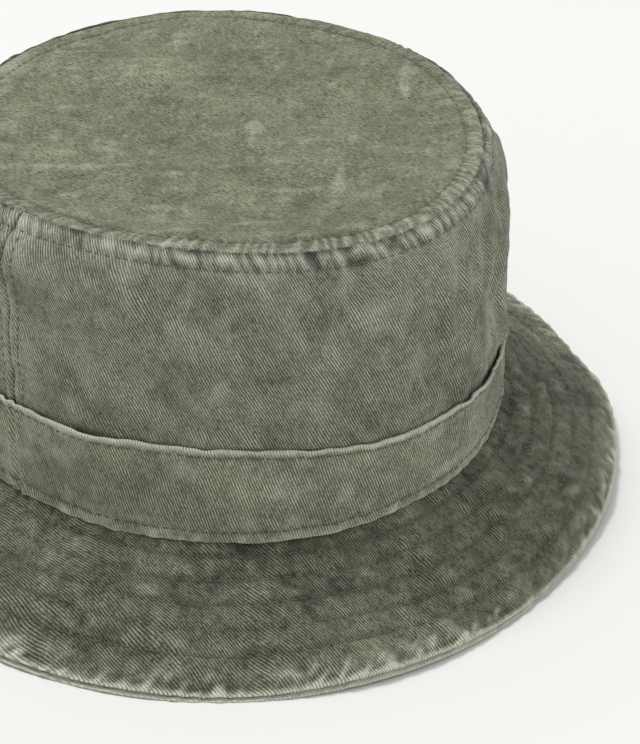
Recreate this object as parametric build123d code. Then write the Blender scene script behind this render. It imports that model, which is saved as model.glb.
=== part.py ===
"""Bucket hat in cotton twill: crown, hat band, sewn brim, sweatband, tapes and stitching.

Millimetres, +Z up, front at -Y. The origin is on the surface that the brim rests on, under
the middle of the crown. Profiles are drawn as (radius, height) and turned about Z.
"""

from build123d import *
import math
import os

# Cloth
CLOTH = 1.0
CLEARANCE = 0.15
PANEL_GAP = 0.1
THREAD = 0.5

# Crown
CROWN_BASE = (94.7, 27.8)
BAND_LINE = (95.9, 61.0)
CROWN_SHOULDER = (96.3, 108.0)
CROWN_TOP = (88.2, 126.9)
TIP_RADIUS = 88.9
TIP_BASE = 127.0
TIP_CROWN = 0.8
TIP_STITCH_INSET = 5.5
WALL_STITCH_HEIGHT = 121.6
SIDE_STITCH_OFFSET = 3.0

# Hat band
BAND_BOTTOM = 27.2
BAND_TOP = 60.8
BAND_CLOTH = 1.3
BAND_STITCH_HEIGHTS = {"band_stitch_top": 58.4, "band_stitch_bottom": 30.7}

# Sweatband, tapes and label inside the crown
SWEATBAND_OUTER = 93.4
SWEATBAND_CLOTH = 1.1
SWEATBAND_BOTTOM = 26.6
SWEATBAND_TOP = 60.0
SWEATBAND_STITCH_HEIGHT = 58.3
TAPE_CLOTH = 0.6
TAPE_WIDTH = 12.0
SIDE_TAPE_BOTTOM = 61.5
TIP_TAPE_BOTTOM = 114.0
TIP_TAPE_TOP = 126.3
LABEL_WIDTH = 30.0
LABEL_CLOTH = 0.6
LABEL_BOTTOM = 36.0
LABEL_TOP = 57.0
LABEL_CLEARANCE = 0.5

# Brim
BRIM_INNER = 94.0
BRIM_RADIUS = 139.6
BRIM_EDGE_TOP = 2.9
BRIM_ANGLE = 28.5
INTERLINING_CLOTH = 0.6
INTERLINING_INNER = 96.0
INTERLINING_OUTER = 134.0
HEM_START = 133.0
HEM_FLAT_INNER = 136.6
STITCH_ROW_FIRST = 99.5
STITCH_ROW_SPACING = 7.5
STITCH_ROW_COUNT = 5
FOLD_LINE = 109.0
FOLD_CLEARANCE = 0.3
THREAD_END_GAP = 0.5
FRONT = -90

# A block larger than the hat, for cutting
REACH = 200.0


def write(node, shape):
    """Writes one sub-part to its own file."""
    export_step(shape, f"parts/{node}.step")


def turned(edges):
    """The closed outline of edges in (radius, height), turned about Z."""
    return revolve(Plane.XZ * make_face(Wire(edges)), Axis.Z, 360)


def turned_polygon(points):
    """A turned solid whose section is a polygon of (radius, height) points."""
    return turned(Polyline(*points, close=True).edges())


def block(x=(-REACH, REACH), y=(-REACH, REACH), z=(-REACH, REACH)):
    """A box given by its lowest and highest x, y and z."""
    size = [high - low for low, high in (x, y, z)]
    centre = [(high + low) / 2 for low, high in (x, y, z)]
    return Pos(*centre) * Box(*size)


def outward(point, distance):
    """A profile point moved straight out from the crown's axis."""
    return (point[0] + distance, point[1])


def wall_edges(offset):
    """The crown wall's outer profile, moved out by offset: a straight foot, then two tangent arcs."""
    base, line, shoulder, top = [
        outward(p, offset) for p in (CROWN_BASE, BAND_LINE, CROWN_SHOULDER, CROWN_TOP)
    ]
    foot = Line(base, line)
    swell = TangentArc(line, shoulder, tangent=foot % 1)
    turn_in = TangentArc(shoulder, top, tangent=swell % 1)
    return foot, swell, turn_in


def wall_skin(near, far):
    """A shell round the crown wall, from near to far outside its outer face."""
    near_edges = wall_edges(near)
    far_edges = wall_edges(far)
    base = Line(near_edges[0] @ 0, far_edges[0] @ 0)
    top = Line(near_edges[-1] @ 1, far_edges[-1] @ 1)
    return turned([*near_edges, top, *reversed(far_edges), base])


def brim_top(radius):
    """Height of the brim's upper face at a radius."""
    return BRIM_EDGE_TOP + (BRIM_RADIUS - radius) * math.tan(math.radians(BRIM_ANGLE))


def thread_ring(radius, height, start=0, arc=360):
    """A round thread laid in a ring, or in part of one from the angle start."""
    section = Plane.XZ * Pos(radius, height) * Circle(THREAD / 2)
    return revolve(Rot(Z=start) * section, Axis.Z, arc)


def make_crown():
    wall = wall_skin(-CLOTH, 0)
    write("crown_side_front", wall & block(y=(-REACH, -PANEL_GAP)))
    write("crown_side_back", wall & block(y=(PANEL_GAP, REACH)))
    rise = ThreePointArc((0, TIP_BASE + TIP_CROWN), (TIP_RADIUS / 2, TIP_BASE + 0.75 * TIP_CROWN), (TIP_RADIUS, TIP_BASE))
    upper = Pos(0, CLOTH) * rise
    middle = Line(rise @ 0, upper @ 0)
    rim = Line(rise @ 1, upper @ 1)
    write("crown_tip", turned([rise, rim, upper, middle]))


def make_crown_stitching():
    stitch_radius = TIP_RADIUS - TIP_STITCH_INSET
    stitch_rise = TIP_CROWN * (1 - (stitch_radius / TIP_RADIUS) ** 2)
    write("tip_topstitch", thread_ring(stitch_radius, TIP_BASE + stitch_rise + CLOTH + CLEARANCE + THREAD / 2))
    thread_skin = wall_skin(CLEARANCE, CLEARANCE + THREAD)
    thread_band = block(z=(WALL_STITCH_HEIGHT - THREAD / 2, WALL_STITCH_HEIGHT + THREAD / 2))
    write("wall_topstitch", thread_skin & thread_band)
    for side, sign in (("left", -1), ("right", 1)):
        x_range = sorted((0, sign * REACH))
        threads = [
            thread_skin
            & block(
                x=x_range,
                y=(edge - THREAD / 2, edge + THREAD / 2),
                z=(BAND_TOP + 1, WALL_STITCH_HEIGHT - 1),
            )
            for edge in (-SIDE_STITCH_OFFSET, SIDE_STITCH_OFFSET)
        ]
        write(f"side_topstitch_{side}", Compound([s for t in threads for s in t.solids()]))


def make_band():
    write("hat_band", wall_skin(CLEARANCE, CLEARANCE + BAND_CLOTH) & block(z=(BAND_BOTTOM, BAND_TOP)))
    surface = 2 * CLEARANCE + BAND_CLOTH
    thread_skin = wall_skin(surface, surface + THREAD)
    for node, height in BAND_STITCH_HEIGHTS.items():
        write(node, thread_skin & block(z=(height - THREAD / 2, height + THREAD / 2)))


def make_sweatband():
    inner = SWEATBAND_OUTER - SWEATBAND_CLOTH
    section = [
        (inner, SWEATBAND_BOTTOM),
        (SWEATBAND_OUTER, SWEATBAND_BOTTOM),
        (SWEATBAND_OUTER, SWEATBAND_TOP),
        (inner, SWEATBAND_TOP),
    ]
    write("sweatband", turned_polygon(section))
    write("sweatband_stitch", thread_ring(inner - CLEARANCE - THREAD / 2, SWEATBAND_STITCH_HEIGHT))
    label_back = math.sqrt(inner**2 - (LABEL_WIDTH / 2) ** 2) - LABEL_CLEARANCE
    label = block(
        x=(-LABEL_WIDTH / 2, LABEL_WIDTH / 2),
        y=(label_back - LABEL_CLOTH, label_back),
        z=(LABEL_BOTTOM, LABEL_TOP),
    )
    write("size_label", label)


def make_tapes():
    tape_face = -CLOTH - CLEARANCE
    tape_skin = wall_skin(tape_face - TAPE_CLOTH, tape_face)
    write("tip_seam_tape", tape_skin & block(z=(TIP_TAPE_BOTTOM, TIP_TAPE_TOP)))
    for side, sign in (("left", -1), ("right", 1)):
        strip = block(
            x=sorted((0, sign * REACH)),
            y=(-TAPE_WIDTH / 2, TAPE_WIDTH / 2),
            z=(SIDE_TAPE_BOTTOM, TIP_TAPE_BOTTOM - 2 * PANEL_GAP),
        )
        write(f"side_seam_tape_{side}", tape_skin & strip)


def brim_layer(inner, outer, depth, thickness):
    """A flat layer of the brim: depth below its upper face, measured straight down."""
    return turned_polygon(
        [
            (inner, brim_top(inner) - depth),
            (outer, brim_top(outer) - depth),
            (outer, brim_top(outer) - depth - thickness),
            (inner, brim_top(inner) - depth - thickness),
        ]
    )


def brim_under_layer(depth):
    """The lower layer: its hem drops to a narrow flat ring that the hat rests on."""
    under = depth + CLOTH
    return turned_polygon(
        [
            (BRIM_INNER, brim_top(BRIM_INNER) - depth),
            (BRIM_RADIUS, brim_top(BRIM_RADIUS) - depth),
            (BRIM_RADIUS, 0),
            (HEM_FLAT_INNER, 0),
            (HEM_START, brim_top(HEM_START) - under),
            (BRIM_INNER, brim_top(BRIM_INNER) - under),
        ]
    )


def write_brim_halves(name, layer):
    """A brim layer as its front and back halves, with the part before the fold line on its own."""
    write(f"{name}_back", layer & block(y=(PANEL_GAP, REACH)))
    write(f"{name}_front", layer & block(y=(-FOLD_LINE, -PANEL_GAP)))
    write(f"{name}_fold", layer & block(y=(-REACH, -FOLD_LINE - FOLD_CLEARANCE)))


def make_brim():
    write_brim_halves("brim_upper", brim_layer(BRIM_INNER, BRIM_RADIUS, 0, CLOTH))
    interlining_depth = CLOTH + CLEARANCE
    interlining = brim_layer(INTERLINING_INNER, INTERLINING_OUTER, interlining_depth, INTERLINING_CLOTH)
    write("brim_interlining", interlining & block(y=(-FOLD_LINE, REACH)))
    write("brim_interlining_fold", interlining & block(y=(-REACH, -FOLD_LINE - FOLD_CLEARANCE)))
    write_brim_halves("brim_under", brim_under_layer(interlining_depth + INTERLINING_CLOTH + CLEARANCE))


def make_brim_stitching():
    for row in range(STITCH_ROW_COUNT):
        radius = STITCH_ROW_FIRST + row * STITCH_ROW_SPACING
        height = brim_top(radius) + CLEARANCE + THREAD / 2
        node = f"brim_stitch_row_{row + 1}"
        if radius <= FOLD_LINE:
            write(node, thread_ring(radius, height))
            continue
        half = math.degrees(math.acos(FOLD_LINE / radius))
        write(node, thread_ring(radius, height, FRONT + half, 360 - 2 * half))
        half -= THREAD_END_GAP
        write(f"{node}_fold", thread_ring(radius, height, FRONT - half, 2 * half))


os.makedirs("parts", exist_ok=True)
make_crown()
make_crown_stitching()
make_band()
make_sweatband()
make_tapes()
make_brim()
make_brim_stitching()
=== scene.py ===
"""Looks of the bucket hat: washed cotton twill panels, hat band, quilted brim and stitching.

The panels are closed cloth shells built over three base surfaces, wall, brim and tip. Each surface
has its own field of folds and puckers, so layers that lie on each other share their creases.
Lengths in this file are millimetres until a mesh is made. The front is at -Y.
"""

import math

import bpy
import numpy as np
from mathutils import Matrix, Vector


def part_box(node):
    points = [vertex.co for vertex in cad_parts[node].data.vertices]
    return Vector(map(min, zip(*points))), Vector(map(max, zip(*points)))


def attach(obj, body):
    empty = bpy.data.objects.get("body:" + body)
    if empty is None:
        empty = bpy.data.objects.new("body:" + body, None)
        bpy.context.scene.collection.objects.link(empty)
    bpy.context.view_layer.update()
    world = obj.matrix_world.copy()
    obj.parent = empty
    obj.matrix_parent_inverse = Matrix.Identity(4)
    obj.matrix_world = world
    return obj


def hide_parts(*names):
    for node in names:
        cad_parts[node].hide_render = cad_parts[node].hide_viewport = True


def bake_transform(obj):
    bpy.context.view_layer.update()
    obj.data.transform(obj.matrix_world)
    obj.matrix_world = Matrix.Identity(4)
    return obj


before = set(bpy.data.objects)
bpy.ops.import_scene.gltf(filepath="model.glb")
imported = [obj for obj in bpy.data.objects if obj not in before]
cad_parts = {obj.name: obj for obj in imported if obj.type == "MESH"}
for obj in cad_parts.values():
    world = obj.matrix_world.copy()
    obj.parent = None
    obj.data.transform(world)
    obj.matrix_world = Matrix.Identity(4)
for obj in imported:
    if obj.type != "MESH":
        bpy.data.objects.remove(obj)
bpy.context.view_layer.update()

MM = 0.001
TAU = 2 * math.pi
FRONT = -math.pi / 2
CLOTH = 1.0
LAYER_FADE = 6.0  # a crease dies out over about this depth of cloth


def box_mm(node):
    """A CAD node's lowest and highest corner in millimetres."""
    low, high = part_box(node)
    return np.array(low) / MM, np.array(high) / MM


# ---------------------------------------------------------------- sizes from the frame

side_low, side_high = box_mm("crown_side_front")
band_low, band_high = box_mm("hat_band")
brim_low, brim_high = box_mm("brim_upper_back")
label_low, label_high = box_mm("size_label")
tip_high = box_mm("crown_tip")[1]
sweatband_high = box_mm("sweatband")[1]
tip_tape_low = box_mm("tip_seam_tape")[0]

WALL_BASE_Z = side_low[2]
WALL_TOP_Z = side_high[2] + 1.0
WALL_RADIUS = side_high[0]
WALL_FOOT_RADIUS = WALL_RADIUS - 1.8
TIP_RADIUS = tip_high[0]
TIP_TOP_Z = tip_high[2] - 0.6
BRIM_INNER = WALL_FOOT_RADIUS - 0.7
BRIM_RADIUS = brim_high[0] + 1.4
BRIM_ROOT_Z = brim_high[2]
BRIM_EDGE_Z = brim_low[2] + CLOTH
BAND_HEIGHTS = (band_low[2], band_high[2])

# The hat lies a little oval and out of true: (waves in a turn, height, radius, direction in degrees)
OVAL = 0.028
EDGE_WAVES = [(1, 1.2, 0.0, 29), (2, 0.0, 5.2, 36)]
ROOT_WAVES = [(1, 1.2, 0.0, -34), (2, 0.0, 1.6, -4), (3, 0.0, 1.0, 21)]
BAND_WAVES = [(1, 3.0, 0.0, 135), (2, 2.4, 0.0, 54), (3, 1.2, 0.0, -7), (4, 0.9, 0.0, 14),
              (1, 0.0, 1.0, 149), (2, 0.0, 1.0, 59), (3, 0.0, 0.8, 56)]
TIP_WAVES = [(1, 2.4, 0.0, -118), (2, 0.8, 0.0, 35), (3, 0.8, 0.0, -22),
             (1, 0.0, 1.3, 149), (2, 0.0, 1.2, -34), (3, 0.0, 1.5, 39)]
SEAM_TURN = math.radians(12)  # the crown is sewn on a little turned
EDGE_REST = 1.4  # keeps the lowest part of the wavy brim edge on the floor
PANEL_GAP = 0.15  # between a panel's edge and the seam's line


# ---------------------------------------------------------------- noise and curves

def noise_field(seed, rows, cols, cell, waves, slant=0.0):
    """Smooth random relief of unit spread on a grid that closes on itself across the columns.

    cell is the grid's pitch down and across, waves the relief's typical lengths down and across,
    and slant turns the relief, in radians."""
    rng = np.random.default_rng(seed)
    white = rng.standard_normal((2 * rows, cols))
    down = np.fft.fftfreq(2 * rows, cell[0])[:, None]
    across = np.fft.fftfreq(cols, cell[1])[None, :]
    along = down * math.cos(slant) + across * math.sin(slant)
    beside = across * math.cos(slant) - down * math.sin(slant)
    keep = np.exp(-((along * waves[0]) ** 2) - (beside * waves[1]) ** 2)
    relief = np.fft.ifft2(np.fft.fft2(white) * keep).real[:rows]
    return (relief - relief.mean()) / relief.std()


def bump(x, centre, spread):
    """A smooth ridge of height 1 at centre."""
    return np.exp(-(((x - centre) / spread) ** 2))


def sample(field, down, across):
    """Reads a grid between its nodes: down in 0..1 from the first row to the last, across in turns."""
    rows, cols = field.shape
    y = np.clip(down, 0, 1) * (rows - 1)
    x = np.mod(across, 1) * cols
    y0 = np.minimum(y.astype(int), rows - 2)
    x0 = np.floor(x).astype(int)
    fy, fx = y - y0, x - x0
    x0, x1 = x0 % cols, (x0 + 1) % cols
    upper = field[y0, x0] * (1 - fx) + field[y0, x1] * fx
    lower = field[y0 + 1, x0] * (1 - fx) + field[y0 + 1, x1] * fx
    return upper * (1 - fy) + lower * fy


def smooth_outline(points, count=240):
    """An even Catmull-Rom curve through a few outline points, with its length."""
    p = np.array(points, float)
    p = np.vstack([2 * p[0] - p[1], p, 2 * p[-1] - p[-2]])
    t = np.linspace(0, 1, 40, endpoint=False)[:, None]
    spans = []
    for a, b, c, d in zip(p[:-3], p[1:-2], p[2:-1], p[3:]):
        spans.append(0.5 * (2 * b + (c - a) * t + (2 * a - 5 * b + 4 * c - d) * t**2
                            + (3 * b - a - 3 * c + d) * t**3))
    curve = np.vstack([*spans, p[-2:-1]])
    walked = np.r_[0, np.cumsum(np.linalg.norm(np.diff(curve, axis=0), axis=1))]
    even = np.linspace(0, walked[-1], count)
    return np.stack([np.interp(even, walked, curve[:, k]) for k in (0, 1)], 1), walked[-1]


def settle(radius, angle, height, waves):
    """Puts round points where the real, slightly oval and leaning hat has them."""
    lift = np.zeros(np.broadcast(radius, angle).shape)
    spread = np.zeros_like(lift)
    for share, table in waves:
        for order, up, out, direction in table:
            wave = np.cos(order * (angle - math.radians(direction)))
            lift = lift + share * up * wave
            spread = spread + share * out * wave
    x = (radius + spread) * (1 - OVAL) * np.cos(angle)
    y = (radius + spread) * (1 + OVAL) * np.sin(angle)
    return np.stack(np.broadcast_arrays(x, y, height + lift), -1)


# ---------------------------------------------------------------- the wall surface

wall_outline, WALL_LENGTH = smooth_outline([
    (WALL_FOOT_RADIUS, WALL_BASE_Z),
    (WALL_FOOT_RADIUS + 0.9, 0.46 * WALL_TOP_Z),
    (WALL_RADIUS - 0.3, 0.60 * WALL_TOP_Z),
    (WALL_RADIUS - 0.4, 0.80 * WALL_TOP_Z),
    (WALL_RADIUS - 2.4, 0.93 * WALL_TOP_Z),
    (TIP_RADIUS + 0.2, WALL_TOP_Z),
])
WALL_ROWS, WALL_COLS = 120, 640
ROPE_PITCH = TAU * WALL_RADIUS / 116  # a whole number of puckers go round the tip's seam
ROPE_ZONE = 6.8  # how far the puckers reach down from the tip's seam
WALL_STITCH_INSET = 5.2
WALL_STITCH = 1 - WALL_STITCH_INSET / WALL_LENGTH
SEAM_STITCH_OFFSET = 4.2
BAND_TOP_S = (BAND_HEIGHTS[1] - WALL_BASE_Z) / WALL_LENGTH


def side_seams(turn, up, crumple):
    """Relief and worn ridges of the two side seams, at turns round the crown and heights up it."""
    relief = ridge = 0.0
    for seam in (SEAM_TURN, SEAM_TURN + math.pi):
        off = abs(np.mod(turn - seam + math.pi, TAU) - math.pi) * WALL_RADIUS
        relief = relief - 0.9 * bump(off, 0, 0.8) + 0.5 * bump(off, 2.0, 1.0)
        relief = relief - 0.35 * bump(off, SEAM_STITCH_OFFSET, 0.8)
        ridge = ridge + bump(off, 1.8, 0.9) * (0.5 + 0.5 * np.sin(up / 1.1 + 2 * crumple))
    return relief, ridge


def make_wall_fields():
    """Relief, wear, and random mottle with painted shade of the crown's side, base row first."""
    rows, cols = WALL_ROWS, WALL_COLS
    cell = (WALL_LENGTH / (rows - 1), TAU * WALL_RADIUS / cols)
    up = np.linspace(0, WALL_LENGTH, rows)[:, None]
    below_tip = WALL_LENGTH - up
    band_top = BAND_TOP_S * WALL_LENGTH
    around = np.arange(cols)[None, :] * cell[1]
    turn = around / WALL_RADIUS
    open_cloth = np.clip((up - 30) / 25, 0, 1) * np.clip(below_tip / 16, 0, 1)
    relief = 1.15 * noise_field(11, rows, cols, cell, (34, 48)) * (0.25 + 0.75 * open_cloth)
    wrinkled = 0.6 + 1.2 * bump(turn, math.radians(300), 0.5)
    wrinkles = noise_field(12, rows, cols, cell, (30, 9), 0.12)
    relief += 0.42 * wrinkled * wrinkles * (0.1 + 0.9 * open_cloth)
    crumple = noise_field(13, rows, cols, cell, (8, 5), -0.5)
    relief += 0.13 * crumple
    near_band = bump(up, band_top + 6, 7)
    relief += near_band * 0.55 * noise_field(14, rows, cols, cell, (8, 20), 0.5)
    relief += 2.0 * bump(up, band_top + 8, 6.5) * bump(turn, math.radians(322), 0.65)
    rope_phase = around / ROPE_PITCH + up / 12 + 0.7 * noise_field(15, rows, cols, cell, (70, 14))
    rope_zone = np.clip((ROPE_ZONE - below_tip) / 3, 0, 1) * (1 - 0.6 * np.exp(-below_tip / 1.2))
    facing = 0.6 + 0.4 * np.cos(turn - FRONT)
    rope = np.sin(TAU * rope_phase) * facing
    relief += 0.5 * rope * rope_zone
    stitch = bump(up, WALL_STITCH * WALL_LENGTH, 1.1)
    relief -= 0.6 * stitch
    relief += 0.35 * bump(up, WALL_LENGTH - 2.6, 1.6)
    seam_relief, ridge = side_seams(turn, up, crumple)
    relief += seam_relief
    rubbed = noise_field(16, rows, cols, cell, (9, 2.5), 0.3)
    faded = noise_field(19, rows, cols, cell, (16, 12), 0.2)
    wear = 0.05 * np.clip(crumple, 0, 3) + 0.08 * np.clip(rubbed - 0.8, 0, 3) + 0.5 * ridge
    wear = wear + 0.13 * np.clip(faded - 0.4, 0, 2)
    wear = wear + 0.75 * rope_zone * np.clip(rope, 0, 1) + 0.1 * bump(up, WALL_LENGTH - 2.0, 0.9)
    mottle_and_shading = 0.5 * noise_field(17, rows, cols, cell, (26, 34))
    mottle_and_shading = mottle_and_shading + 0.35 * noise_field(18, rows, cols, cell, (9, 12))
    # Painted shade: darker in the stitch groove, along the seam with the tip and just above the band.
    mottle_and_shading = mottle_and_shading - 1.6 * stitch - 3.5 * np.exp(-below_tip / 0.6) - 0.5 * near_band
    # Painted shade in the valleys between the puckers.
    mottle_and_shading = mottle_and_shading - 3.6 * rope_zone * np.clip(-rope, 0, 1)
    return relief, np.clip(wear, 0, 1), mottle_and_shading


wall_relief, wall_wear, wall_mottle_and_shading = make_wall_fields()


def outline_at(outline, s):
    """Point and outward unit normal of an outline at 0..1 of its length."""
    grid = np.linspace(0, 1, len(outline))
    step = np.gradient(outline, axis=0)
    normal = np.stack([step[:, 1], -step[:, 0]], 1)
    normal /= np.linalg.norm(normal, axis=1)[:, None]
    return [np.interp(s, grid, column) for column in (*outline.T, *normal.T)]


def wall_point(s, t, out):
    """A point out mm outside the crown's side, at s of its height and the angle t."""
    radius, height, normal_r, normal_z = outline_at(wall_outline, s)
    relief = sample(wall_relief, s, t / TAU)
    off = relief * np.clip(1 + out / LAYER_FADE, 0.3, 1.15) + out
    low = np.clip((BAND_HEIGHTS[1] - height) / (BAND_HEIGHTS[1] - WALL_BASE_Z), 0, 1)
    tip_share = np.clip((height - BAND_HEIGHTS[1]) / (WALL_TOP_Z - BAND_HEIGHTS[1]), 0, 1)
    band_share = (1 - low) * (1 - tip_share)
    waves = [(low, ROOT_WAVES), (band_share, BAND_WAVES), (tip_share, TIP_WAVES)]
    return settle(radius + normal_r * off, t, height + normal_z * off, waves)


# ---------------------------------------------------------------- the brim surface

brim_outline, BRIM_LENGTH = smooth_outline([
    (BRIM_INNER, BRIM_ROOT_Z),
    (0.5 * (BRIM_INNER + BRIM_RADIUS), 0.5 * (BRIM_ROOT_Z + BRIM_EDGE_Z) - 0.6),
    (BRIM_RADIUS, BRIM_EDGE_Z),
])
BRIM_ROWS, BRIM_COLS = 80, 860
ROW_RADII = [box_mm(f"brim_stitch_row_{row}")[1][0] - 0.25 for row in range(1, 6)]
ROW_S = [(r - BRIM_INNER) / (BRIM_RADIUS - BRIM_INNER) for r in ROW_RADII]


def make_brim_fields():
    """Relief, wear, and random mottle with painted light and shade of the brim, inner row first."""
    rows, cols = BRIM_ROWS, BRIM_COLS
    cell = (BRIM_LENGTH / (rows - 1), TAU * 118 / cols)
    s = np.linspace(0, 1, rows)[:, None]
    down = s * BRIM_LENGTH
    around = np.arange(cols)[None, :] * cell[1]
    relief = 0.9 * noise_field(21, rows, cols, cell, (60, 55)) * np.clip(s * 1.6, 0, 1)
    puckers = np.zeros((rows, cols))
    borders = [0.02, *ROW_S, 0.97]
    for channel, (low, high) in enumerate(zip(borders[:-1], borders[1:])):
        inside = np.clip((s - low) / (high - low), 0, 1)
        window = np.where((s > low) & (s < high), np.sin(math.pi * inside) ** 0.7, 0)
        slant = 0.45 if channel % 2 else 0.75
        puckers = puckers + window * noise_field(31 + channel, rows, cols, cell, (9, 5.5), slant)
    relief += 0.34 * puckers
    stitch = sum(bump(down, row * BRIM_LENGTH, 0.9) for row in ROW_S)
    gather = 0.5 + 0.5 * np.clip(noise_field(41, rows, cols, cell, (3, 4)), -1, 1)
    relief -= (0.45 + 0.2 * gather) * stitch
    fine = noise_field(42, rows, cols, cell, (4, 3), 0.6)
    relief += 0.08 * fine
    bead = np.clip((down - (BRIM_LENGTH - 8.0)) / 5.0, 0, 1)
    streak = noise_field(43, rows, cols, cell, (7, 2.6), -0.7)
    relief += bead * (0.25 + 0.3 * streak)
    edge = np.clip((down - (BRIM_LENGTH - 2.6)) / 1.6, 0, 1)
    streaks = np.clip((down - (BRIM_LENGTH - 10)) / 10, 0, 1) ** 1.3 * np.clip(streak, 0, 2) * 0.7
    wear = 0.8 * edge + streaks + 0.09 * np.clip(puckers - 0.8, 0, 2) + 0.05 * np.clip(fine, 0, 2)
    # Painted light and shade: lighter on the puckers and darker between them, darker in the stitch grooves
    # and darker towards the crown, where the brim meets it.
    mottle_and_shading = 0.7 * noise_field(44, rows, cols, cell, (14, 24)) + 0.6 * puckers - 1.8 * stitch
    mottle_and_shading = mottle_and_shading + 0.5 * noise_field(45, rows, cols, cell, (6, 7)) - 1.8 * np.exp(-down / 4.0)
    return relief, np.clip(wear, 0, 1), mottle_and_shading


brim_relief, brim_wear, brim_mottle_and_shading = make_brim_fields()


def brim_point(s, t, out):
    """A point out mm above the brim's upper face, at s of its width and the angle t."""
    radius, height, normal_r, normal_z = outline_at(brim_outline, np.clip(s, 0, 1))
    relief = sample(brim_relief, s, t / TAU)
    off = -(relief * np.clip(1 + out / LAYER_FADE, 0.3, 1.15) + out)
    share = np.clip((radius - BRIM_INNER) / (BRIM_RADIUS - BRIM_INNER), 0, 1)
    waves = [(1 - share, ROOT_WAVES), (share**4, EDGE_WAVES)]
    points = settle(radius + normal_r * off, t, height + normal_z * off + share * EDGE_REST, waves)
    points[..., 2] = np.maximum(points[..., 2], 0.05)
    return points


# ---------------------------------------------------------------- the tip surface

TIP_CELLS = 260
TIP_SPAN = 200.0
TIP_STITCH_INSET = 6.6
TIP_STITCH = 1 - TIP_STITCH_INSET / TIP_RADIUS


def make_tip_fields():
    """Relief, wear and random mottle of the tip on a square grid that lies flat under it."""
    n = TIP_CELLS
    cell = (TIP_SPAN / n, TIP_SPAN / n)
    creases = noise_field(52, n, n, cell, (5, 26), 0.5) + noise_field(53, n, n, cell, (6, 22), -0.9)
    relief = 0.9 * noise_field(51, n, n, cell, (40, 46)) + 0.22 * creases
    relief += 0.07 * noise_field(54, n, n, cell, (4, 4))
    wear = 0.1 * np.clip(creases - 1.0, 0, 3)
    wear += 0.1 * np.clip(noise_field(55, n, n, cell, (3, 3)) - 0.7, 0, 3)
    mottle_and_shading = 0.5 * noise_field(56, n, n, cell, (22, 30)) + 0.3 * noise_field(57, n, n, cell, (8, 9))
    return relief, wear, mottle_and_shading


tip_relief, tip_wear, tip_mottle = make_tip_fields()
tip_rope = noise_field(58, 8, WALL_COLS, (1, TAU * TIP_RADIUS / WALL_COLS), (4, 14))


def tip_sample(field, s, t):
    """Reads a square field under the polar point at s of the radius and the angle t."""
    x = 0.5 + s * TIP_RADIUS * np.cos(t) / TIP_SPAN
    y = 0.5 + s * TIP_RADIUS * np.sin(t) / TIP_SPAN
    return sample(field, y, x)


def tip_bands(s, t):
    """The tip's rope of puckers, its stitch line and its seam, as ridges."""
    inset = (1 - s) * TIP_RADIUS
    phase = t * WALL_RADIUS / ROPE_PITCH - inset / 12 + 0.7 * sample(tip_rope, 0.5, t / TAU)
    facing = 0.6 + 0.4 * np.cos(t - FRONT)
    rope = np.sin(TAU * phase) * facing * np.clip((TIP_STITCH_INSET + 1.4 - inset) / 3, 0, 1)
    stitch = bump(inset, TIP_STITCH_INSET, 1.1)
    return inset, rope, stitch


def tip_point(s, t, out):
    """A point out mm above the tip, at s of its radius and the angle t."""
    inset, rope, stitch = tip_bands(s, t)
    relief = tip_sample(tip_relief, s, t) * np.clip(inset / 18, 0.15, 1)
    relief = relief + 0.24 * rope - 0.5 * stitch + 0.35 * bump(inset, 2.4, 1.4)
    radius = s * TIP_RADIUS
    sag = -1.6 * (1 - s**2) + 0.8 * bump(inset, 12, 10)
    drop = -1.2 * np.exp(-inset / 1.2)
    return settle(radius, t, TIP_TOP_Z + sag + drop + relief + out, [(s**2, TIP_WAVES)])


# ---------------------------------------------------------------- meshes

def unit(vectors):
    return vectors / np.maximum(np.linalg.norm(vectors, axis=-1, keepdims=True), 1e-9)


def rim(edge_a, edge_b, ahead, steps=4):
    """A half-round edge between two faces of a cloth, as rows of points."""
    centre, half = (edge_a + edge_b) / 2, (edge_a - edge_b) / 2
    reach = np.linalg.norm(half, axis=-1, keepdims=True)
    turns = np.linspace(0, math.pi, steps + 2)[1:-1]
    return [centre + half * math.cos(a) + ahead * reach * math.sin(a) for a in turns]


def facing_out(points, faces, uv):
    """Turns the faces round if they enclose a negative volume."""
    a, b, c, d = (points[faces[:, k]] for k in range(4))
    volume = np.einsum("ij,ij->", a, np.cross(b, c) + np.cross(c, d))
    return (faces, uv) if volume > 0 else (faces[:, ::-1], uv[:, ::-1])


def make_mesh(name, points, faces, uv, values=None):
    """A mesh from points in mm, four-cornered faces, their corners' UVs in mm and point values."""
    faces, uv = facing_out(points, faces, uv)
    mesh = bpy.data.meshes.new(name)
    mesh.vertices.add(len(points))
    mesh.vertices.foreach_set("co", (np.asarray(points) * MM).astype(np.float32).ravel())
    mesh.loops.add(len(faces) * 4)
    mesh.loops.foreach_set("vertex_index", np.ascontiguousarray(faces, np.int32).ravel())
    mesh.polygons.add(len(faces))
    mesh.polygons.foreach_set("loop_start", np.arange(0, len(faces) * 4, 4, dtype=np.int32))
    mesh.polygons.foreach_set("use_smooth", np.ones(len(faces), bool))
    layer = mesh.uv_layers.new(name="cloth_mm")
    layer.data.foreach_set("uv", np.ascontiguousarray(uv, np.float32).ravel())
    for key, data in (values or {}).items():
        attribute = mesh.attributes.new(key, "FLOAT", "POINT")
        attribute.data.foreach_set("value", np.asarray(data, np.float32).ravel())
    mesh.update(calc_edges=True)
    thing = bpy.data.objects.new(name, mesh)
    bpy.context.scene.collection.objects.link(thing)
    return thing


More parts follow.
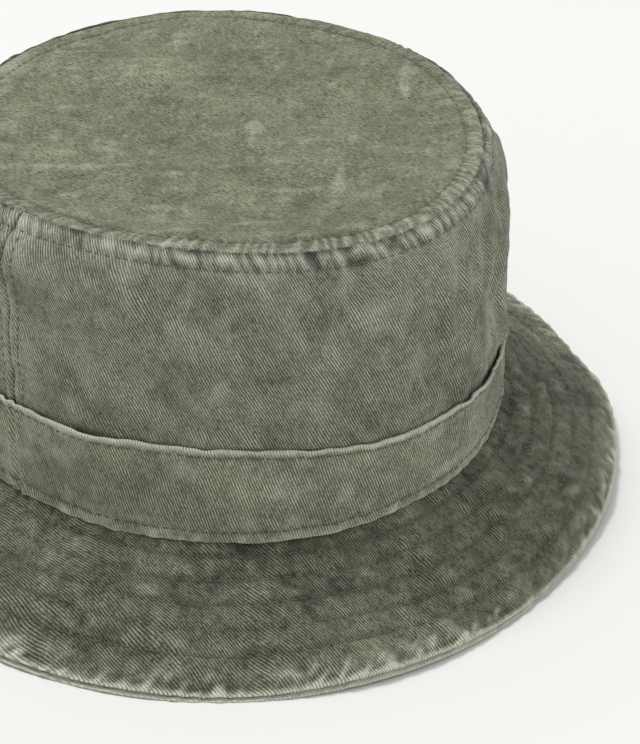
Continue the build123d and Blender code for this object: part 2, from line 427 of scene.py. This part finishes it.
def cloth_panel(name, surface, s_values, t_values, depths, closed=False, back_wear=0.0):
    """A closed shell of cloth over a surface: its face, its back and rounded rims.

    depths is how far the face and the back are outside the surface, and closed joins the last
    column of points to the first."""
    s, t = np.meshgrid(s_values, t_values, indexing="ij")
    outer = surface["point"](s, t, depths[0])
    inner = surface["point"](s, t, depths[1])
    end_rim = rim(outer[-1], inner[-1], unit(outer[-1] - outer[-2]))
    start_rim = rim(inner[0], outer[0], unit(outer[0] - outer[1]))
    loop = np.stack([*outer, *end_rim, *inner[::-1], *start_rim])
    count, columns = loop.shape[:2]
    n, rims = len(s_values), len(end_rim)
    s_loop = np.r_[s_values, [s_values[-1]] * rims, s_values[::-1], [s_values[0]] * rims]
    front = np.r_[np.ones(n + rims), np.full(n, back_wear), np.ones(rims)]
    t_ends = np.r_[t_values, t_values[0] + TAU] if closed else np.asarray(t_values)
    s_grid, t_grid = np.meshgrid(s_loop, t_ends, indexing="ij")
    uv_grid = np.stack(surface["cloth"](s_grid, t_grid), -1)
    wear = surface["wear"](s_grid, t_grid)[:, :columns] * front[:, None]
    # Random mottle of the cloth, with painted light and shade, for each point.
    mottle_and_shading = surface["mottle_and_shading"](s_grid, t_grid)[:, :columns]
    i, j = np.meshgrid(np.arange(count), np.arange(columns if closed else columns - 1), indexing="ij")
    i, j = i.ravel(), j.ravel()
    i2, j2 = (i + 1) % count, (j + 1) % columns
    faces = np.stack([i * columns + j, i * columns + j2, i2 * columns + j2, i2 * columns + j], 1)
    uv = np.stack([uv_grid[i, j], uv_grid[i, j + 1], uv_grid[i2, j + 1], uv_grid[i2, j]], 1)
    if not closed:
        k = np.arange(-rims // 2, n + rims // 2 - 1)
        ladder = np.stack([k, k + 1, 2 * n + rims - 2 - k, 2 * n + rims - 1 - k], 1) % count
        for column, rungs in ((0, ladder), (columns - 1, ladder[:, ::-1])):
            faces = np.vstack([faces, rungs * columns + column])
            uv = np.concatenate([uv, uv_grid[rungs, column]])
    values = {"wear": np.clip(wear, 0, 1), "mottle_and_shading": mottle_and_shading}
    return make_mesh(name, loop.reshape(-1, 3), faces, uv, values)


STITCH_SIDES = 6


def stitch_faces(rings):
    """Four-cornered faces of one stitch: a six-sided tube of several rings, closed at both ends."""
    faces = []
    for ring in range(rings - 1):
        for k in range(STITCH_SIDES):
            low, low_next = ring * STITCH_SIDES + k, ring * STITCH_SIDES + (k + 1) % STITCH_SIDES
            faces.append((low, low_next, low_next + STITCH_SIDES, low + STITCH_SIDES))
    last = (rings - 1) * STITCH_SIDES
    faces += [(3, 2, 1, 0), (5, 4, 3, 0)]
    faces += [(last, last + 1, last + 2, last + 3), (last, last + 3, last + 4, last + 5)]
    return np.array(faces)


def sewn_thread(name, surface, s_path, t_path, out=0.1, length=2.5, gap=0.8, radius=0.24, seed=0):
    """A row of separate stitches along a path on a surface, each diving into the cloth at its ends."""
    path = surface["point"](s_path, t_path, out)
    above = unit(surface["point"](s_path, t_path, out + 1.0) - path)
    walked = np.r_[0, np.cumsum(np.linalg.norm(np.diff(path, axis=0), axis=1))]
    count = int(walked[-1] / (length + gap))
    rng = np.random.default_rng(seed)
    starts = (np.arange(count) + 0.12 * rng.uniform(-1, 1, count)) * walked[-1] / count
    share = np.linspace(0, 1, 6)
    at = starts[:, None] + share[None, :] * length * rng.uniform(0.9, 1.08, count)[:, None]
    centre = np.stack([np.interp(at, walked, path[:, k]) for k in range(3)], -1)
    normal = unit(np.stack([np.interp(at, walked, above[:, k]) for k in range(3)], -1))
    along = unit(np.gradient(centre, axis=1))
    beside = unit(np.cross(along, normal))
    arch = np.sin(math.pi * share)
    centre = centre + normal * (0.3 * arch**0.6 - 0.25)[None, :, None]
    thick = radius * (0.35 + 0.65 * arch**0.5)
    sides = np.arange(STITCH_SIDES) * TAU / STITCH_SIDES
    ring = (normal[:, :, None] * np.cos(sides)[None, None, :, None]
            + beside[:, :, None] * np.sin(sides)[None, None, :, None])
    points = centre[:, :, None] + ring * thick[None, :, None, None]
    rings = len(share)
    first_points = np.arange(count)[:, None, None] * rings * STITCH_SIDES
    faces = (first_points + stitch_faces(rings)[None]).reshape(-1, 4)
    around = np.broadcast_to(sides[None, None, :] * radius, points.shape[:3])
    run = np.broadcast_to(at[:, :, None], points.shape[:3])
    uv = np.stack([run, around], -1).reshape(-1, 2)[faces]
    return make_mesh(name, points.reshape(-1, 3), faces, uv)


# ---------------------------------------------------------------- surfaces by name

def read(field):
    """A function that reads a surface's field at s of its rows and the angle t."""
    return lambda s, t: sample(field, s, t / TAU)


def cone_cloth(s, t):
    """Where a point of the brim lies on its flat pattern: a half ring whose middle is at front or back."""
    lean = math.cos(math.atan2(BRIM_ROOT_Z - BRIM_EDGE_Z, BRIM_RADIUS - BRIM_INNER))
    middle = np.where(np.sin(t) < 0, FRONT, -FRONT)
    turn = (np.mod(t - middle + math.pi, TAU) - math.pi) * lean
    reach = (BRIM_INNER + s * (BRIM_RADIUS - BRIM_INNER)) / lean
    return reach * np.sin(turn), -reach * np.cos(turn)


WALL = {
    "point": wall_point,
    "cloth": lambda s, t: (t * WALL_RADIUS, s * WALL_LENGTH),
    "wear": read(wall_wear),
    "mottle_and_shading": read(wall_mottle_and_shading),
}
BRIM = {"point": brim_point, "cloth": cone_cloth, "wear": read(brim_wear), "mottle_and_shading": read(brim_mottle_and_shading)}


def tip_edge_wear(s, t):
    inset, rope, _ = tip_bands(s, t)
    edge = 0.16 * bump(inset, 1.3, 0.7) + 0.32 * np.clip(rope, 0, 1)
    return np.clip(tip_sample(tip_wear, s, t) + edge, 0, 1)


def tip_mottle_and_shading(s, t):
    inset, rope, stitch = tip_bands(s, t)
    # Painted shade: darker in the stitch groove, along the seam with the crown's side and in the valleys
    # between the puckers.
    return tip_sample(tip_mottle, s, t) - 1.9 * stitch - 5.0 * np.exp(-inset / 0.6) - np.clip(-rope, 0, 1)


TIP = {
    "point": tip_point,
    "cloth": lambda s, t: (s * TIP_RADIUS * np.cos(t), s * TIP_RADIUS * np.sin(t)),
    "wear": tip_edge_wear,
    "mottle_and_shading": tip_mottle_and_shading,
}

BAND_ROWS = 44
BAND_HEIGHT = BAND_HEIGHTS[1] - WALL_BASE_Z
BAND_STITCHES = (3.5 / BAND_HEIGHT, 1 - 2.4 / BAND_HEIGHT)


def make_band_fields():
    """Relief, stand-off, wear, and random mottle with painted light and shade of the hat band, lower row
    first.
    """
    cell = (BAND_HEIGHT / (BAND_ROWS - 1), TAU * WALL_RADIUS / WALL_COLS)
    shape = (BAND_ROWS, WALL_COLS)
    up = np.linspace(0, BAND_HEIGHT, BAND_ROWS)[:, None]
    folds = noise_field(61, *shape, cell, (26, 20), 0.3)
    fine = noise_field(62, *shape, cell, (5, 3), 0.3)
    pull = noise_field(63, *shape, cell, (4, 5))
    edge = bump(up, BAND_HEIGHT, 3.2) + bump(up, 0, 4.2)
    stitch = sum(bump(up, row * BAND_HEIGHT, 0.9) for row in BAND_STITCHES)
    relief = 0.22 * folds + 0.07 * fine + edge * (0.04 * pull + 0.12) - 0.42 * stitch
    lip = noise_field(64, *shape, cell, (200, 60))
    stand_off = 0.25 + np.clip(0.45 + 0.4 * lip, 0, 2) * np.exp(-(BAND_HEIGHT - up) / 5)
    wear = 0.8 * np.exp(-(((BAND_HEIGHT - up) / 1.0) ** 2)) + 0.4 * np.exp(-up / 0.9)
    wear = wear + edge * 0.35 * np.clip(pull, 0, 2) + 0.1 * np.clip(fine - 0.5, 0, 2)
    wear = wear + 0.16 * np.clip(noise_field(67, *shape, cell, (9, 13)) - 0.4, 0, 2)
    # Painted light and shade: lighter where the folds stand out, darker where they sink, and darker in the
    # stitch grooves.
    mottle_and_shading = 0.5 * noise_field(65, *shape, cell, (18, 26)) + 0.25 * folds - 1.8 * stitch
    return relief, stand_off, np.clip(wear, 0, 1), mottle_and_shading


band_relief, band_stand_off, band_wear, band_mottle_and_shading = make_band_fields()
band_edge = noise_field(66, 8, WALL_COLS, (1, TAU * WALL_RADIUS / WALL_COLS), (4, 60))


def band_point(s, t, out):
    """A point out mm outside the hat band's back, at s of its height."""
    rise = BAND_HEIGHT + 0.3 * sample(band_edge, 0.5, t / TAU)
    relief = sample(band_relief, s, t / TAU) * np.clip(out, 0.4, 1)
    off = sample(band_stand_off, s, t / TAU) + relief + out
    return wall_point(s * rise / WALL_LENGTH, t, np.maximum(off, 0.12))


# The band's weave is shifted, so that it doesn't carry on from the crown's
BAND = {
    "point": band_point,
    "cloth": lambda s, t: (t * WALL_RADIUS + 31, s * BAND_HEIGHT + 7),
    "wear": read(band_wear),
    "mottle_and_shading": read(band_mottle_and_shading),
}


# ---------------------------------------------------------------- materials

def node(tree, kind, inputs=None, **settings):
    """Adds a shader node, sets its properties, and links or sets its inputs."""
    made = tree.nodes.new(kind)
    for key, value in settings.items():
        setattr(made, key, value)
    for key, value in (inputs or {}).items():
        if isinstance(value, bpy.types.NodeSocket):
            tree.links.new(value, made.inputs[key])
        else:
            made.inputs[key].default_value = value
    return made


def maths(tree, operation, a, b=0.0, clamp=False):
    return node(tree, "ShaderNodeMath", {0: a, 1: b}, operation=operation, use_clamp=clamp).outputs[0]


def mix(tree, factor, a, b, blend="MIX"):
    made = node(tree, "ShaderNodeMix", {0: factor, 6: a, 7: b}, data_type="RGBA", blend_type=blend)
    return made.outputs[2]


def noise(tree, vector, scale, detail=2.0, rough=0.5):
    inputs = {"Vector": vector, "Scale": scale, "Detail": detail, "Roughness": rough}
    return node(tree, "ShaderNodeTexNoise", inputs).outputs["Fac"]


def centred(tree, value, gain):
    """(value - 0.5) * gain"""
    return maths(tree, "MULTIPLY", maths(tree, "SUBTRACT", value, 0.5), gain)


def rgba(colour, factor=1.0):
    return (*[c * factor for c in colour], 1.0)


def wale_axes(tree, uv, slope, wander):
    """Distances along and across the wales, which wander a little over the cloth."""
    drift = node(tree, "ShaderNodeTexNoise", {"Vector": uv, "Scale": 0.04, "Detail": 0.0})
    middle = {0: drift.outputs["Color"], 1: (0.5, 0.5, 0.5)}
    shift = node(tree, "ShaderNodeVectorMath", middle, operation="SUBTRACT").outputs[0]
    shift = node(tree, "ShaderNodeVectorMath", {0: shift, "Scale": wander}, operation="SCALE").outputs[0]
    bent = node(tree, "ShaderNodeVectorMath", {0: uv, 1: shift}, operation="ADD").outputs[0]
    turned = node(tree, "ShaderNodeMapping", {"Vector": bent, "Rotation": (0, 0, math.radians(slope))})
    split = node(tree, "ShaderNodeSeparateXYZ", {0: turned.outputs[0]})
    return split.outputs[0], split.outputs[1]


def drawn_noise(tree, axes, scales, detail, rough):
    """Noise about zero, scaled apart along and across the wales."""
    along, across = (maths(tree, "MULTIPLY", axis, scale) for axis, scale in zip(axes, scales))
    place = node(tree, "ShaderNodeCombineXYZ", {0: along, 1: across}).outputs[0]
    return centred(tree, noise(tree, place, 1.0, detail, rough), 1.0)


def twill(name, colour, worn, slope=62.0, pitch=0.92, wales=0.95, grain=0.55, mottle=1.0, wander=2.5):
    """Washed cotton twill: slanting wales, uneven yarn, faded patches and pale wear.

    slope is the wales' fall in degrees below the cloth's u direction and pitch their spacing in mm."""
    material = bpy.data.materials.new(name)
    material.use_nodes = True
    tree = material.node_tree
    tree.nodes.clear()
    uv = node(tree, "ShaderNodeUVMap", uv_map="cloth_mm").outputs[0]
    axes = wale_axes(tree, uv, slope, wander)
    wave = maths(tree, "SINE", maths(tree, "MULTIPLY", axes[1], TAU / pitch))
    yarn = drawn_noise(tree, axes, (0.55, 1.6), 2.0, 0.6)
    streak = drawn_noise(tree, axes, (0.09, 0.5), 3.0, 0.65)
    fibre = centred(tree, noise(tree, uv, 1.7, 3.0, 0.75), 1.0)
    patch = centred(tree, noise(tree, uv, 0.035, 4.0, 0.55), 1.0)
    cloud = centred(tree, noise(tree, uv, 0.17, 4.0, 0.65), 1.0)
    clear = maths(tree, "ADD", maths(tree, "MULTIPLY", cloud, 2.4), 0.8, True)
    floats = maths(tree, "ADD", maths(tree, "MULTIPLY", yarn, 4.5), 1.0)
    weave = maths(tree, "MULTIPLY", wave, floats)
    weave = maths(tree, "MULTIPLY", weave, maths(tree, "MULTIPLY", clear, wales))
    weave = maths(tree, "ADD", weave, maths(tree, "MULTIPLY", yarn, 4.5 * grain))
    weave = maths(tree, "ADD", weave, maths(tree, "MULTIPLY", fibre, 4.5 * grain))
    weave = maths(tree, "ADD", maths(tree, "MULTIPLY", weave, 0.5), 0.5, True)
    # The point attribute read here holds the cloth's random mottle together with painted light and shade:
    # lighter on puckers and folds, darker in stitch grooves, seams and valleys.
    mottle_and_shading = node(tree, "ShaderNodeAttribute", attribute_name="mottle_and_shading").outputs["Fac"]
    tone = maths(tree, "MULTIPLY", mottle_and_shading, 0.15)
    tone = maths(tree, "ADD", tone, maths(tree, "MULTIPLY", patch, 0.9 * mottle))
    tone = maths(tree, "ADD", tone, maths(tree, "MULTIPLY", cloud, 1.2 * mottle))
    tone = maths(tree, "ADD", tone, maths(tree, "MULTIPLY", streak, 0.7 * mottle))
    tone = maths(tree, "MAXIMUM", maths(tree, "ADD", tone, 1.0), 0.22)
    cloth = mix(tree, weave, rgba(colour, 0.15), rgba(colour, 1.85))
    cloth = node(tree, "ShaderNodeVectorMath", {0: cloth, "Scale": tone}, operation="SCALE").outputs[0]
    wear = node(tree, "ShaderNodeAttribute", attribute_name="wear").outputs["Fac"]
    rub = maths(tree, "MULTIPLY", wear, maths(tree, "ADD", weave, 0.35), True)
    cloth = mix(tree, rub, cloth, rgba(worn))
    height = maths(tree, "MULTIPLY", wave, 0.5 * wales)
    height = maths(tree, "ADD", height, maths(tree, "MULTIPLY", yarn, 0.9))
    height = maths(tree, "ADD", height, maths(tree, "MULTIPLY", fibre, 1.2))
    relief = node(tree, "ShaderNodeBump", {"Height": height, "Strength": 0.6, "Distance": 0.00018})
    shader = node(tree, "ShaderNodeBsdfPrincipled", {"Base Color": cloth, "Normal": relief.outputs[0]})
    soft = {"Roughness": 0.93, "Specular IOR Level": 0.15, "Sheen Weight": 0.06, "Sheen Roughness": 0.6}
    for key, value in soft.items():
        shader.inputs[key].default_value = value
    node(tree, "ShaderNodeOutputMaterial", {"Surface": shader.outputs[0]})
    return material


def yarn_material(name, colour):
    """Sewing thread: a fine slanting twist along each stitch."""
    material = bpy.data.materials.new(name)
    material.use_nodes = True
    tree = material.node_tree
    tree.nodes.clear()
    uv = node(tree, "ShaderNodeUVMap", uv_map="cloth_mm").outputs[0]
    turned = node(tree, "ShaderNodeMapping", {"Vector": uv, "Rotation": (0, 0, 0.7)})
    twist = node(tree, "ShaderNodeTexWave", {"Vector": turned.outputs[0], "Scale": 1.3, "Distortion": 1.0})
    uneven = noise(tree, uv, 0.4, 2.0)
    twisted = twist.outputs["Fac"]
    tone = maths(tree, "ADD", maths(tree, "MULTIPLY", twisted, 0.6), centred(tree, uneven, 0.8), True)
    cloth = mix(tree, tone, rgba(colour, 0.55), rgba(colour, 1.35))
    relief = node(tree, "ShaderNodeBump", {"Height": twisted, "Strength": 0.4, "Distance": 0.0001})
    shader = node(tree, "ShaderNodeBsdfPrincipled", {"Base Color": cloth, "Normal": relief.outputs[0]})
    shader.inputs["Roughness"].default_value = 0.75
    node(tree, "ShaderNodeOutputMaterial", {"Surface": shader.outputs[0]})
    return material


def floor_material():
    material = bpy.data.materials.new("floor")
    material.use_nodes = True
    shader = material.node_tree.nodes["Principled BSDF"]
    shader.inputs["Base Color"].default_value = (0.785, 0.778, 0.767, 1)
    shader.inputs["Roughness"].default_value = 0.9
    shader.inputs["Specular IOR Level"].default_value = 0.1
    return material


# The crown's side, tip and band are one olive cloth in lit and shaded copies: the tip's olive is painted
# darker, as the tip faces the lamps, and the band's painted lighter, as it faces a little down.
OLIVE = (0.184, 0.193, 0.141)
BAND_PAINTED_LIGHT_OLIVE = (0.198, 0.208, 0.149)
TIP_OLIVE = (0.151, 0.158, 0.104)
DARK_OLIVE = (0.107, 0.110, 0.076)
WORN = (0.54, 0.55, 0.46)
ECRU = (0.50, 0.48, 0.42)
crown_twill = twill("crown_twill", OLIVE, WORN)
tip_twill = twill("tip_twill", TIP_OLIVE, WORN, slope=68, wales=0.28, grain=0.7, mottle=0.8)
band_twill = twill("band_twill", BAND_PAINTED_LIGHT_OLIVE, WORN, slope=70, wales=0.9, mottle=0.85)
brim_twill = twill("brim_twill", DARK_OLIVE, WORN, slope=73, grain=0.75, mottle=1.15, wander=7.0)
inner_twill = twill("inner_twill", OLIVE, WORN, wales=0.5, grain=0.35, mottle=0.4)
tape_twill = twill("tape_twill", DARK_OLIVE, WORN, slope=0, pitch=0.7, wales=0.4, grain=0.3, mottle=0.3)
canvas = twill("canvas", ECRU, WORN, slope=0, pitch=1.4, wales=0.3, grain=0.3, mottle=0.2)
label_weave = twill("label_weave", ECRU, WORN, slope=0, pitch=0.4, wales=0.3, grain=0.2, mottle=0.2)
thread = yarn_material("thread", [0.8 * c for c in OLIVE])


# ---------------------------------------------------------------- pieces

SIDE_SEAMS = (("left", SEAM_TURN + math.pi), ("right", SEAM_TURN))


def dress(piece, material, slot, *nodes):
    """Gives a piece its material and hides the CAD nodes that it stands for."""
    piece.data.materials.append(material)
    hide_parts(*nodes)
    return piece


def make_crown():
    s = np.linspace(0, 1, 112)
    for end, low in (("front", SEAM_TURN - math.pi), ("back", SEAM_TURN)):
        gap = PANEL_GAP / WALL_RADIUS
        t = np.linspace(low + gap, low + math.pi - gap, 321)
        piece = cloth_panel(f"crown_{end}_panel", WALL, s, t, (0, -CLOTH), back_wear=0.3)
        dress(piece, crown_twill, "crown", f"crown_side_{end}")
        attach(piece, "hat")
    s = np.linspace(0.004, 0.9985, 96)
    t = np.linspace(0, TAU, WALL_COLS, endpoint=False)
    piece = cloth_panel("crown_tip_panel", TIP, s, t, (0, -CLOTH), closed=True, back_wear=0.3)
    dress(piece, tip_twill, "crown", "crown_tip")
    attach(piece, "hat")


def make_band():
    s = np.linspace(0, 1, 52)
    t = np.linspace(0, TAU, 720, endpoint=False)
    piece = cloth_panel("band", BAND, s, t, (1.15, 0), closed=True)
    dress(piece, band_twill, "hat_band", "hat_band")
    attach(piece, "hat")


def ride_or_fold(piece):
    """Bakes a brim piece's placement into its mesh."""
    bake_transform(piece)


UPPER_EDGE = 1 - 1.0 / BRIM_LENGTH
UPPER_DEPTHS = (0, -CLOTH)
CORE_DEPTHS = (-1.15, -1.7)
CORE_SPAN = (0.05, 0.87)  # shares of the brim's width
UNDER_DEPTHS = (-1.9, -2.9)


def make_brim():
    layers = (("upper", UPPER_EDGE, UPPER_DEPTHS, brim_twill, "brim"),
              ("under", 1.0, UNDER_DEPTHS, inner_twill, "brim_lining"))
    for layer, edge, depths, material, slot in layers:
        s = np.linspace(0, edge, 76)
        for end, low, high in (("front", -math.pi, 0), ("back", 0, math.pi)):
            gap = PANEL_GAP / BRIM_RADIUS
            t = np.linspace(low + gap, high - gap, 441)
            piece = cloth_panel(f"brim_{layer}_{end}_panel", BRIM, s, t, depths, back_wear=0.4)
            nodes = [f"brim_{layer}_{end}"] + ([f"brim_{layer}_fold"] if end == "front" else [])
            dress(piece, material, slot, *nodes)
            if end == "front":
                ride_or_fold(piece)
            else:
                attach(piece, "hat")
    s = np.linspace(*CORE_SPAN, 40)
    t = np.linspace(0, TAU, 480, endpoint=False)
    core = cloth_panel("brim_core", BRIM, s, t, CORE_DEPTHS, closed=True)
    dress(core, canvas, "interlining", "brim_interlining", "brim_interlining_fold")
    ride_or_fold(core)


def make_brim_rows():
    t = np.linspace(0, TAU, 2400)
    for row, s in enumerate(ROW_S, start=1):
        start = 0.3 * row
        piece = sewn_thread(f"brim_thread_{row}", BRIM, np.full(t.shape, s), t + start, seed=70 + row)
        node_names = [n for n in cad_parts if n.startswith(f"brim_stitch_row_{row}")]
        dress(piece, thread, "thread", *node_names)
        ride_or_fold(piece)


def make_crown_rows():
    t = np.linspace(0, TAU, 2400)
    rows = (
        ("tip_thread", TIP, TIP_STITCH, "tip_topstitch"),
        ("wall_thread", WALL, WALL_STITCH, "wall_topstitch"),
    )
    for seed, (name, surface, s, cad) in enumerate(rows, start=80):
        piece = sewn_thread(name, surface, np.full(t.shape, s), t, seed=seed)
        dress(piece, thread, "thread", cad)
        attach(piece, "hat")
    for seed, (end, s) in enumerate((("bottom", BAND_STITCHES[0]), ("top", BAND_STITCHES[1])), start=90):
        piece = sewn_thread(f"band_thread_{end}", BAND, np.full(t.shape, s), t, out=1.25, seed=seed)
        dress(piece, thread, "thread", f"band_stitch_{end}")
        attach(piece, "hat")
    s = np.linspace(BAND_TOP_S + 0.01, WALL_STITCH - 0.01, 200)
    for side, seam in SIDE_SEAMS:
        for name, turn in (("front", -1), ("back", 1)):
            path = np.full(s.shape, seam + turn * math.cos(seam) * SEAM_STITCH_OFFSET / WALL_RADIUS)
            piece = sewn_thread(f"seam_thread_{side}_{name}", WALL, s, path, seed=95)
            dress(piece, thread, "thread", f"side_topstitch_{side}")
            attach(piece, "hat")


TAPE_DEPTHS = (-1.15, -1.75)
TAPE_WIDTH = 12.0
TIP_TAPE_TOP = 125.5
SWEATBAND_DEPTHS = (-1.3, -2.3)
LABEL_CLEARANCE = 0.3


def sweatband_point(s, t, out):
    """A point out mm outside the crown's side, leaning in at the back to meet the label sewn there."""
    inner_face = wall_point(s, np.full(np.shape(s), -FRONT), SWEATBAND_DEPTHS[1])[..., 1]
    gap = inner_face - label_high[1] - LABEL_CLEARANCE
    lean = np.maximum(gap, 0) * bump(np.mod(t, TAU), -FRONT, 0.2) * np.clip(s * 12, 0, 1)
    return wall_point(s, t, out - lean)


SWEATBAND = dict(WALL, point=sweatband_point)


def wall_strip(name, s_range, t_range, depths, material, slot, cad, closed=False, surface=WALL):
    """A strip of tape or lining that lies against the inside of the crown's side."""
    rows = max(6, int((s_range[1] - s_range[0]) * WALL_LENGTH / 1.6))
    span = (t_range[1] - t_range[0]) * WALL_RADIUS
    t = np.linspace(*t_range, max(8, int(span / 1.8)), endpoint=not closed)
    piece = cloth_panel(name, surface, np.linspace(*s_range, rows), t, depths, closed=closed)
    dress(piece, material, slot, cad)
    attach(piece, "hat")
    return piece


def make_inside():
    sweat_top = (sweatband_high[2] - WALL_BASE_Z) / WALL_LENGTH
    wall_strip("sweatband_tape", (0.0, sweat_top), (0, TAU), SWEATBAND_DEPTHS, inner_twill,
               "sweatband", "sweatband", closed=True, surface=SWEATBAND)
    tape_low, tape_high = ((z - WALL_BASE_Z) / WALL_LENGTH for z in (tip_tape_low[2], TIP_TAPE_TOP))
    wall_strip("tip_tape", (tape_low, tape_high), (0, TAU), TAPE_DEPTHS, tape_twill,
               "tape", "tip_seam_tape", closed=True)
    half = TAPE_WIDTH / 2 / WALL_RADIUS
    for side, seam in SIDE_SEAMS:
        wall_strip(f"side_tape_{side}", (sweat_top + 0.01, tape_low - 0.004), (seam - half, seam + half),
                   TAPE_DEPTHS, tape_twill, "tape", f"side_seam_tape_{side}")
    t = np.linspace(0, TAU, 1600)
    s = np.full(t.shape, sweat_top - 1.8 / WALL_LENGTH)
    inside = dict(WALL, point=lambda s, t, out: sweatband_point(s, t, SWEATBAND_DEPTHS[1] - out))
    piece = sewn_thread("sweatband_thread", inside, s, t, seed=99)
    dress(piece, thread, "thread", "sweatband_stitch")
    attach(piece, "hat")
    make_label()


def make_label():
    """A blank woven label that hangs from its sewn top edge, curling a little at its free corners."""
    width, thickness, height = label_high - label_low

    def label_point(s, t, out):
        x = t * width / 2
        drop = (1 - s) * height
        curl = 0.9 * (drop / height) ** 2 * (0.4 + 0.6 * np.abs(t) ** 2)
        return np.stack(np.broadcast_arrays(x, label_low[1] - curl + out, label_high[2] - drop), -1)

    plain = {"point": label_point, "cloth": lambda s, t: (t * width / 2, s * height),
             "wear": lambda s, t: 0.3 * np.abs(t) ** 6, "mottle_and_shading": lambda s, t: 0 * s}
    s, t = np.linspace(0, 1, 14), np.linspace(-1, 1, 20)
    piece = cloth_panel("label_panel", plain, s, t, (0, thickness))
    dress(piece, label_weave, "label", "size_label")
    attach(piece, "label")


# ---------------------------------------------------------------- stage

def make_camera():
    azimuth, elevation = math.radians(-31.5), math.radians(32.5)
    distance, target = 1.2, Vector((0, 0, 0.060))
    back = Vector((math.sin(azimuth) * math.cos(elevation),
                   -math.cos(azimuth) * math.cos(elevation),
                   math.sin(elevation)))
    right = Vector((math.cos(azimuth), math.sin(azimuth), 0))
    up = back.cross(right)
    data = bpy.data.cameras.new("camera")
    data.lens, data.sensor_width = 169.9, 36
    data.clip_start, data.clip_end = 0.05, 20
    camera = bpy.data.objects.new("camera", data)
    bpy.context.scene.collection.objects.link(camera)
    camera.location = target + right * 0.032 + up * -0.024 + back * distance
    camera.rotation_mode = "QUATERNION"
    camera.rotation_quaternion = (-back).to_track_quat("-Z", "Y")
    bpy.context.scene.camera = camera


def area_light(name, place, size, power, aim=(0, 0, 0.05)):
    data = bpy.data.lights.new(name, "AREA")
    data.shape, data.size, data.energy = "DISK", size, power
    light = bpy.data.objects.new(name, data)
    bpy.context.scene.collection.objects.link(light)
    light.location = place
    light.rotation_euler = (Vector(aim) - Vector(place)).to_track_quat("-Z", "Y").to_euler()


def make_stage():
    bpy.ops.mesh.primitive_plane_add(size=30)
    floor = bpy.context.object
    floor.name = "floor"
    floor.data.materials.append(floor_material())
    area_light("overhead", (-0.45, 0.5, 2.5), 0.8, 33)
    area_light("window", (1.3, -2.0, 1.9), 1.6, 15)
    world = bpy.data.worlds.new("studio")
    world.use_nodes = True
    world.node_tree.nodes["Background"].inputs[0].default_value = (1, 0.995, 0.985, 1)
    world.node_tree.nodes["Background"].inputs[1].default_value = 0.68
    bpy.context.scene.world = world
    bpy.context.scene.view_settings.view_transform = "Standard"


make_camera()
make_stage()
make_crown()
make_band()
make_brim()
make_brim_rows()
make_crown_rows()
make_inside()
